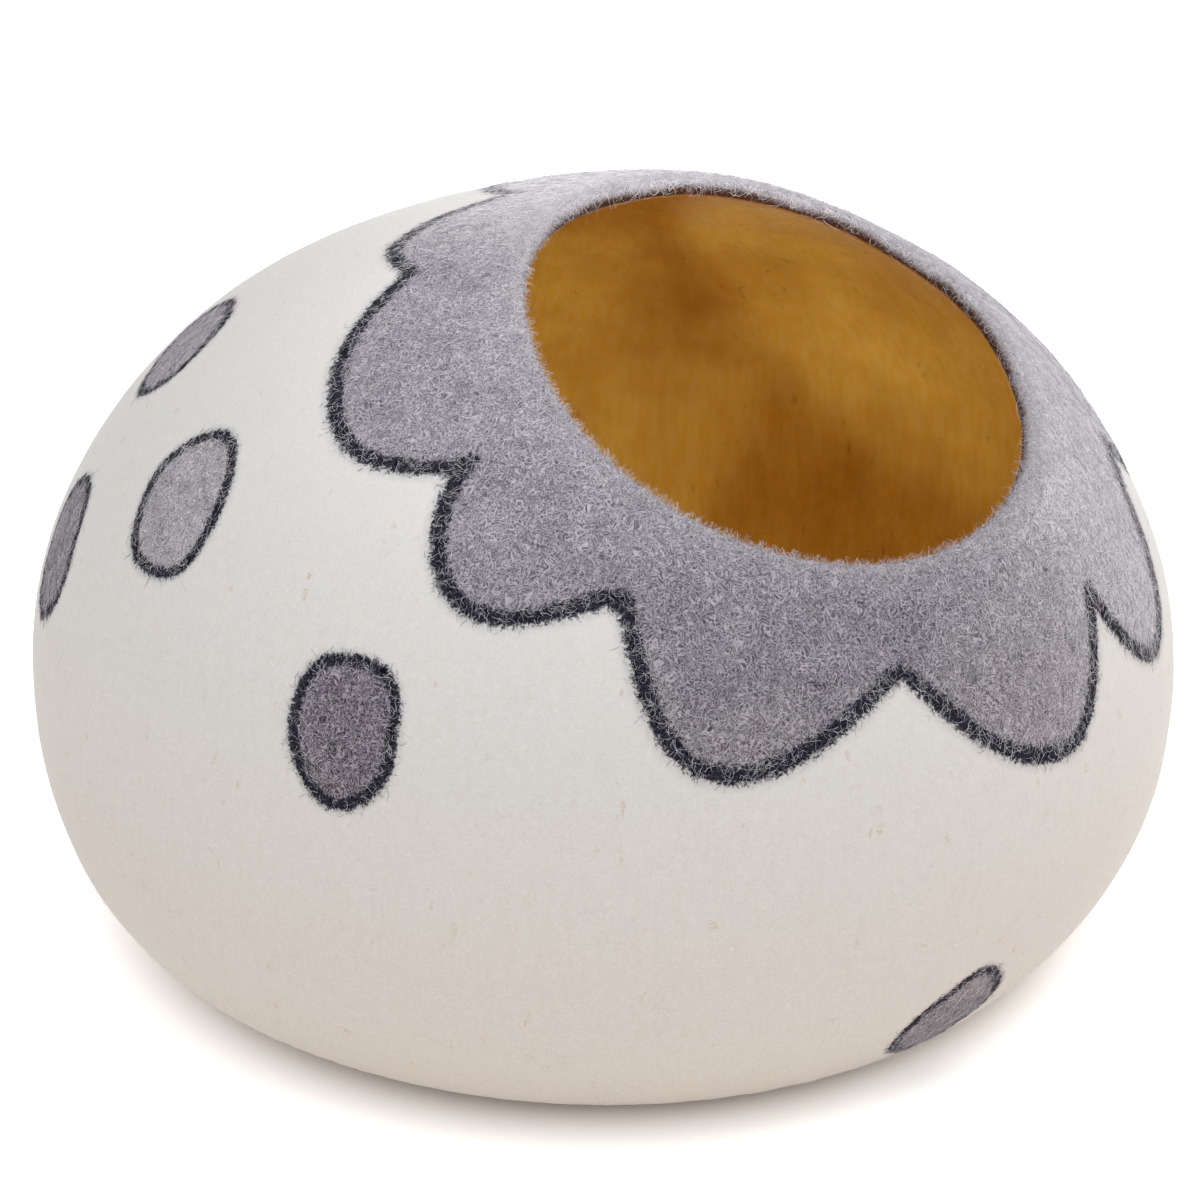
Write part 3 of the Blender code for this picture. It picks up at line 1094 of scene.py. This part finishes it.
def wall_material():
    mat, tree, shader = new_material("felted wool wall", roughness=0.95, sheen=0.18, sheen_spread=0.25)
    coords = tree.nodes.new("ShaderNodeTexCoord").outputs["Object"]
    wool = tree.nodes.new("ShaderNodeGroup")
    wool.node_tree = WOOL
    tree.links.new(coords, wool.inputs["Vector"])
    masks = edge_masks(tree, coords)
    lip_shadow, lining = depth_masks(tree, coords, masks.fray)
    patches = grained(tree, coords, PATCH_GRAIN)
    specks = step_mask(tree, grained(tree, coords, SPECK_GRAIN), *SPECK_SHARE)

    colour = outer_colour(tree, coords, wool, masks, patches, specks)
    # painted shadow along the inner side of the lip
    colour = mix_colours(tree, lip_shadow, colour, LIP_SHADOW_AND_FLECK_BROWN)
    colour = mix_colours(tree, lining, colour, lining_colour(tree, coords, patches, specks))
    tree.links.new(colour, shader.inputs["Base Color"])

    bump = tree.nodes.new("ShaderNodeBump")
    bump.inputs["Strength"].default_value = BUMP_STRENGTH
    bump.inputs["Distance"].default_value = BUMP_DEPTH
    relief = math_node(tree, "MULTIPLY_ADD", masks.inside, 1 - CREAM_RELIEF, CREAM_RELIEF)
    tree.links.new(math_node(tree, "MULTIPLY", wool.outputs["Height"], relief), bump.inputs["Height"])
    tree.links.new(bump.outputs[0], shader.inputs["Normal"])
    return mat


wall.data.materials.clear()
wall.data.materials.append(wall_material())
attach(wall, "root")
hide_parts(SHELL_NODE)
print("wall material", len(wall.data.materials[0].node_tree.nodes), "nodes")

# %% [markdown]
# ## The loose fibres
#
# The loose fibres are what makes felt look like felt: they curl over the dark gaps, cross the outline,
# lean over the lip and soften the silhouette. Blender's hair would draw them well, but hair is lost when
# the model is exported. So they are real meshes: each fibre is a thin closed tube of three sides with a
# point at both ends. All the fibres of one colour are made at once from arrays, as one joined mesh,
# since tens of thousands of separate objects would be far too slow.
#
# Roots are drawn at random over the outer skin, by area, and kept where a rule for that sort of fibre
# says so. Every draw comes from a numbered random generator, so the result is the same each time.

# %% Roots on the wall
Roots = namedtuple("Roots", "place normal edge depth rim frost")
OVERDRAW = 5                # tries for each root that is asked for


def wall_triangles():
    """The corners and areas of the wall's triangles. Each face is split from its lowest number."""
    corners = []
    for face in wall.data.polygons:
        ring = list(face.vertices)
        turn = ring.index(min(ring))
        ring = ring[turn:] + ring[:turn]
        corners += [(ring[0], second, third) for second, third in zip(ring[1:], ring[2:])]
    corners = np.array(corners)
    a, b, c = (wall_places[corners[:, n]] for n in range(3))
    return corners, np.linalg.norm(np.cross(b - a, c - a), axis=1) / 2


CORNERS, AREAS = wall_triangles()
WALL_SKIN = BVHTree.FromPolygons(wall_places.tolist(), CORNERS.tolist())
WALL = Roots(wall_places, point_normals(wall.data), edge, depth, rim, frost)


def scatter(count, rule, rng):
    """Random roots on the wall, kept as often as rule(roots) says, where 1 is always."""
    ceiling = rule(WALL)[CORNERS].max(axis=1) + 0.01
    weight = AREAS * ceiling
    face = rng.choice(weight.size, size=count * OVERDRAW, p=weight / weight.sum())
    first, second = rng.random((2, face.size))
    over = first + second > 1
    first, second = np.where(over, 1 - first, first), np.where(over, 1 - second, second)
    shares = np.stack([1 - first - second, first, second], axis=1)
    read = [np.einsum("ij,ij...->i...", shares, values[CORNERS[face]]) for values in WALL]
    kept = np.flatnonzero(rng.random(face.size) < rule(Roots(*read)) / ceiling[face])[:count]
    return Roots(*(values[kept] for values in read))


print("wall area", round(float(AREAS.sum()), 3), "square metres, inside and outside")

# %% [markdown]
# A fibre is long enough to reach round the lip. A straight one would stand out into the air there like a
# bristle. So each one walks over the wall in short steps and turns with it, and its arch is raised
# from the points that it passes.

# %% The line of a fibre
Sort = namedtuple("Sort", ("name", "slot", "colours", "count", "rule", "length", "width", "curl", "wave",
                           "lift", "loose", "stations", "combed", "frosted", "seed"))
STEPS = 28                  # short steps along which a fibre's curl is worked out
END_SHARE = 0.07            # how far from its ends a fibre has its full width
SINK = 0.15 * MM            # how deep a root sits in the wool
COMBED_FROST = (0.8, 1.1)   # the paler wool lies combed up and down, and this is where that starts
COMB_SPREAD = 0.45
LIFT_SPREAD = (0.2, 1.0)    # the share of its sort's lift that a fibre has
LOOSE_RISE = 1.4            # how a loose fibre rises towards its free end


def unit_rows(vectors):
    return vectors / np.maximum(np.linalg.norm(vectors, axis=-1, keepdims=True), 1e-12)


def walked_over_wall(place, normal, start, steps):
    """Walks over the wall in steps of (forward, sideways), turning with it, also round the lip."""
    places, normals = [place], [normal]
    for forward, sideways in steps.transpose(1, 2, 0):
        beside = np.cross(normal, start)
        ahead = place + forward[:, None] * start + sideways[:, None] * beside
        hits = [WALL_SKIN.find_nearest(Vector(point)) for point in ahead]
        place = np.array([hit[0] for hit in hits])
        normal = np.array([hit[1] for hit in hits])
        start = unit_rows(start - normal * np.sum(start * normal, axis=1, keepdims=True))
        places.append(place)
        normals.append(normal)
    return np.stack(places, axis=1), np.stack(normals, axis=1)


def start_directions(roots, normal, sort, rng):
    """Which way each fibre sets out: anywhere, or up or down where the wool is combed."""
    count = len(roots.place)
    down = unit_rows(np.array([0.0, 0.0, -1.0]) + normal * normal[:, 2:])
    side = np.cross(normal, down)
    heading = rng.uniform(0, 2 * np.pi, count)
    combed = rng.choice((0, np.pi), count) + rng.normal(0, COMB_SPREAD, count)
    share_combed = np.interp(roots.frost, COMBED_FROST, sort.combed)
    heading = np.where(rng.random(count) < share_combed, combed, heading)[:, None]
    return down * np.cos(heading) + side * np.sin(heading)


def fibre_lines(roots, sort, rng):
    """The middle line of each fibre: an arc that curls over the wool, sunk at its root."""
    count = len(roots.place)
    normal = unit_rows(roots.normal)
    start = start_directions(roots, normal, sort, rng)
    length = rng.uniform(*sort.length, count)[:, None, None]
    walked = np.linspace(0, 1, STEPS + 1)
    curl = rng.uniform(*sort.curl, count) * rng.choice((-1, 1), count)
    wave = rng.normal(0, sort.wave, count)[:, None] * np.sin(2 * np.pi * (walked + rng.random((count, 1))))
    angle = curl[:, None] * walked + wave
    trail = np.cumsum(np.stack([np.cos(angle), np.sin(angle)], axis=2), axis=1) / STEPS
    inner = np.linspace(END_SHARE, 1 - END_SHARE, sort.stations - 2)
    kept = np.concatenate([[0], np.rint(inner * STEPS), [STEPS]]).astype(int)
    share = walked[kept][None, :, None]
    places, normals = walked_over_wall(roots.place, normal, start, length * np.diff(trail[:, kept], axis=1))
    loose = (rng.random(count) < sort.loose)[:, None, None]
    arch = np.where(loose, share ** LOOSE_RISE, np.sin(np.pi * share))
    lift = rng.uniform(*LIFT_SPREAD, count)[:, None, None] * sort.lift
    return places + (lift * arch - SINK) * normals, normals


print("short steps along a fibre", STEPS)

# %% From lines to tubes
SIDES = 3
SHADES = 64                 # rows of the fibre's own UV map, from the darkest to the lightest
TAPER = 0.35                # how much thinner a fibre is at its tip than at its root
FIBRE_UV = "OFBake"


def tube_points(line, normal, width):
    """A root point, rings of three points round the line, and a tip point, for every fibre."""
    along = unit_rows(np.gradient(line, axis=1))
    side = unit_rows(np.cross(along, normal))
    over = np.cross(side, along)
    corner = np.arange(SIDES) * 2 * np.pi / SIDES
    taper = 1 - TAPER * np.linspace(0, 1, line.shape[1] - 2)[None, :, None, None]
    spoke = side[:, 1:-1, None] * np.cos(corner)[:, None] + over[:, 1:-1, None] * np.sin(corner)[:, None]
    rings = line[:, 1:-1, None] + spoke * taper * width / 2
    return np.concatenate([line[:, :1], rings.reshape(len(line), -1, 3), line[:, -1:]], axis=1)


def tube_faces(rings):
    """The triangles of one tube, and for each corner its station along the tube and its side."""
    tip = 1 + rings * SIDES
    faces, spots = [], []
    for number in range(SIDES):
        here, there = 1 + number, 1 + (number + 1) % SIDES
        faces.append((0, there, here))
        spots.append(((0, number), (1, number + 1), (1, number)))
        for ring in range(rings - 1):
            low, high = ring * SIDES, (ring + 1) * SIDES
            faces.append((here + low, there + low, there + high))
            spots.append(((ring + 1, number), (ring + 1, number + 1), (ring + 2, number + 1)))
            faces.append((here + low, there + high, here + high))
            spots.append(((ring + 1, number), (ring + 2, number + 1), (ring + 2, number)))
        last = (rings - 1) * SIDES
        faces.append((here + last, there + last, tip))
        spots.append(((rings, number), (rings, number + 1), (rings + 1, number)))
    return np.array(faces), np.array(spots, dtype=float)


def fibre_mesh(sort, line, normal, shade):
    """All the fibres of one sort as one mesh, with a UV map of shades."""
    count, stations = line.shape[:2]
    points = tube_points(line, normal, sort.width)
    faces, spots = tube_faces(stations - 2)
    corners = (faces[None] + np.arange(count)[:, None, None] * points.shape[1]).ravel()
    row = np.clip((shade * SHADES).astype(int), 0, SHADES - 1)
    uv = np.empty((count, len(faces), 3, 2))
    uv[..., 0] = spots[None, ..., 0] / (stations - 1)
    uv[..., 1] = (row[:, None, None] + 0.1 + 0.8 * spots[None, ..., 1] / SIDES) / SHADES
    mesh = bpy.data.meshes.new(sort.name)
    mesh.vertices.add(count * points.shape[1])
    mesh.vertices.foreach_set("co", points.ravel())
    mesh.loops.add(corners.size)
    mesh.loops.foreach_set("vertex_index", corners)
    mesh.polygons.add(corners.size // 3)
    mesh.polygons.foreach_set("loop_start", np.arange(0, corners.size, 3))
    mesh.update(calc_edges=True)
    mesh.uv_layers.new(name=FIBRE_UV).data.foreach_set("uv", uv.ravel())
    mesh.shade_smooth()
    return mesh


print("triangles in a fibre of five stations", len(tube_faces(3)[0]))

# %% [markdown]
# A single colour for each sort would look like nylon, since real wool holds dark and light fibres side by
# side. A material for each fibre would be far too many. So a fibre's colour comes from its own UV map:
# across the map it runs from the root to the tip, and up the map from the darkest fibres to the
# lightest. Roots are a little darker, since they lie in shade.

# %% The fibres' material
ROOT_SHADE = 0.25           # how much darker a fibre is at its root
ROOT_SHARE = 0.4            # the share of its length over which that fades
SHADE_SPREAD = 2.2          # how much more common the middle shades are than the darkest and lightest
FLOOR_GAP = 0.3 * MM        # the lowest that a fibre lies


def fibre_material(name, colours):
    mat, tree, shader = new_material(name, roughness=0.9, sheen=0.03)
    uv = tree.nodes.new("ShaderNodeUVMap")
    uv.uv_map = FIBRE_UV
    parts = tree.nodes.new("ShaderNodeSeparateXYZ")
    tree.links.new(uv.outputs["UV"], parts.inputs[0])
    ramp = tree.nodes.new("ShaderNodeValToRGB")
    stops = ramp.color_ramp.elements
    stops[0].color = opaque(colours[0])
    stops[1].color = opaque(colours[-1])
    for number, colour in enumerate(colours[1:-1], start=1):
        stops.new(number / (len(colours) - 1)).color = opaque(colour)
    tree.links.new(parts.outputs["Y"], ramp.inputs["Fac"])
    past_root = step_mask(tree, parts.outputs["X"], 0.0, ROOT_SHARE)
    shade = math_node(tree, "MULTIPLY_ADD", past_root, -ROOT_SHADE, ROOT_SHADE)
    colour = mix_colours(tree, shade, ramp.outputs["Color"], opaque(colours[0]))
    tree.links.new(colour, shader.inputs["Base Color"])
    return mat


def lay_fibres(sort):
    rng = np.random.default_rng(sort.seed)
    roots = scatter(sort.count, sort.rule, rng)
    line, normal = fibre_lines(roots, sort, rng)
    line[..., 2] = np.maximum(line[..., 2], FLOOR_GAP)
    # a fibre is lighter where the stored paleness holds painted light
    shade = rng.beta(SHADE_SPREAD, SHADE_SPREAD, len(line)) + sort.frosted * (roots.frost - 0.5)
    mesh = fibre_mesh(sort, line, normal, np.clip(shade, 0, 0.999))
    obj = bpy.data.objects.new(sort.name, mesh)
    bpy.context.scene.collection.objects.link(obj)
    obj.data.materials.append(fibre_material(sort.name.replace("_", " "), sort.colours))
    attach(obj, "root")
    return obj


print("shades in a sort", SHADES)

# %% [markdown]
# ## Seven sorts of fibre
#
# On the real cave the loose fibres differ from place to place. Two sorts of grey ones are the thickest
# mat, dense over the collar and the spots. Charcoal ones follow the outline and reach a few millimetres
# into the cream, and pale ones cross it from the grey side. Very fine cream ones stand away from the
# whole outside and soften the silhouette, short pale ones stand up as fuzz along the lip, and curls of
# mustard wool lie loose inside it.
#
# Weights could be painted by hand on the wall. A rule in numbers is shorter and can be read: each one
# gives a share from 0 to 1 for every point, from the numbers that are stored there.

# %% Where each sort grows
GREY_FIBRES = ((0.07, 0.06, 0.078), (0.42, 0.392, 0.435), (0.86, 0.835, 0.88))
PALE_FIBRES = ((0.36, 0.34, 0.38), (0.62, 0.60, 0.64), (0.88, 0.86, 0.88))
CHARCOAL_FIBRES = ((0.003, 0.003, 0.006), (0.012, 0.012, 0.020), (0.07, 0.07, 0.095))
CREAM_FIBRES = ((0.70, 0.68, 0.66), (0.76, 0.75, 0.74), (0.84, 0.83, 0.82))
MUSTARD_FIBRES = ((0.70, 0.36, 0.05), (0.88, 0.58, 0.14), (0.95, 0.74, 0.30))
OUTSIDE_DEPTH = (3.4 * MM, 4.4 * MM)    # where the outside ends, half way round the lip


def outside(at):
    """One on the outer half of the wall's thickness, and none on the inner half."""
    nearest, deepest = OUTSIDE_DEPTH
    return smooth_step(-deepest, -nearest, -at.depth)


def on_grey(at):
    return smooth_step(1.5 * MM, 4.5 * MM, -at.edge) * outside(at)


# denser where the stored paleness holds painted light
def on_grey_by_tone(at):
    return on_grey(at) * np.clip(0.45 + 0.55 * at.frost, 0, 1)


def on_outline(at):
    return near(at.edge, -0.2 * MM, 2.8 * MM) * outside(at)


def across_outline(at):
    return near(at.edge, -1.8 * MM, 2.6 * MM) * outside(at)


def on_lip(at):
    return near(at.rim, 1.0 * MM, 3.5 * MM) * outside(at)


def on_lining(at):
    return smooth_step(*LINING_START, at.depth) * (0.08 + np.exp(-at.rim / (30 * MM)))


def on_outside(at):
    return smooth_step(0.01, 0.05, at.place[:, 2]) * outside(at)


print("share of the wall's points that are outside", round(float(outside(WALL).mean()), 2))

# %% Laying them
SORTS = (
    Sort("grey_fibres_a", "grey_wool", GREY_FIBRES, count=6600, rule=on_grey, length=(8 * MM, 18 * MM),
         width=0.165 * MM, curl=(0.5, 5.0), wave=0.7, lift=0.6 * MM, loose=0.15, stations=7,
         combed=(0, 0.7), frosted=0.4, seed=11),
    Sort("grey_fibres_b", "grey_wool", GREY_FIBRES, count=6600, rule=on_grey_by_tone,
         length=(7 * MM, 17 * MM), width=0.165 * MM, curl=(0.5, 5.0), wave=0.8, lift=1.1 * MM, loose=0.25,
         stations=7, combed=(0, 0.7), frosted=0.4, seed=12),
    Sort("outline_fibres", "charcoal_wool", CHARCOAL_FIBRES, count=7400, rule=on_outline,
         length=(2.5 * MM, 6.0 * MM), width=0.15 * MM, curl=(0.4, 2.6), wave=0.4, lift=0.6 * MM, loose=0.4,
         stations=5, combed=(0, 0), frosted=0.0, seed=21),
    Sort("pale_crossing_fibres", "grey_wool", PALE_FIBRES, count=5200, rule=across_outline,
         length=(4 * MM, 10 * MM), width=0.14 * MM, curl=(0.6, 4.5), wave=0.6, lift=0.8 * MM, loose=0.3,
         stations=6, combed=(0, 0), frosted=0.0, seed=22),
    Sort("flyaway_fibres", "cream_wool", CREAM_FIBRES, count=2000, rule=on_outside, length=(4 * MM, 10 * MM),
         width=0.12 * MM, curl=(0.3, 3.0), wave=0.4, lift=3.0 * MM, loose=0.6, stations=5,
         combed=(0, 0), frosted=0.0, seed=31),
    Sort("lip_wisps", "grey_wool", PALE_FIBRES, count=7200, rule=on_lip, length=(3 * MM, 8 * MM),
         width=0.10 * MM, curl=(1.0, 6.0), wave=0.9, lift=4.2 * MM, loose=0.6, stations=5,
         combed=(0, 0), frosted=0.0, seed=41),
    Sort("mustard_wisps", "mustard_wool", MUSTARD_FIBRES, count=700, rule=on_lining, length=(4 * MM, 10 * MM),
         width=0.14 * MM, curl=(0.8, 5.0), wave=0.5, lift=1.2 * MM, loose=0.3, stations=5,
         combed=(0, 0), frosted=0.0, seed=51),
)
for sort in SORTS:
    fibres = lay_fibres(sort)
    print(sort.name, sort.count, "fibres", len(fibres.data.polygons), "triangles")
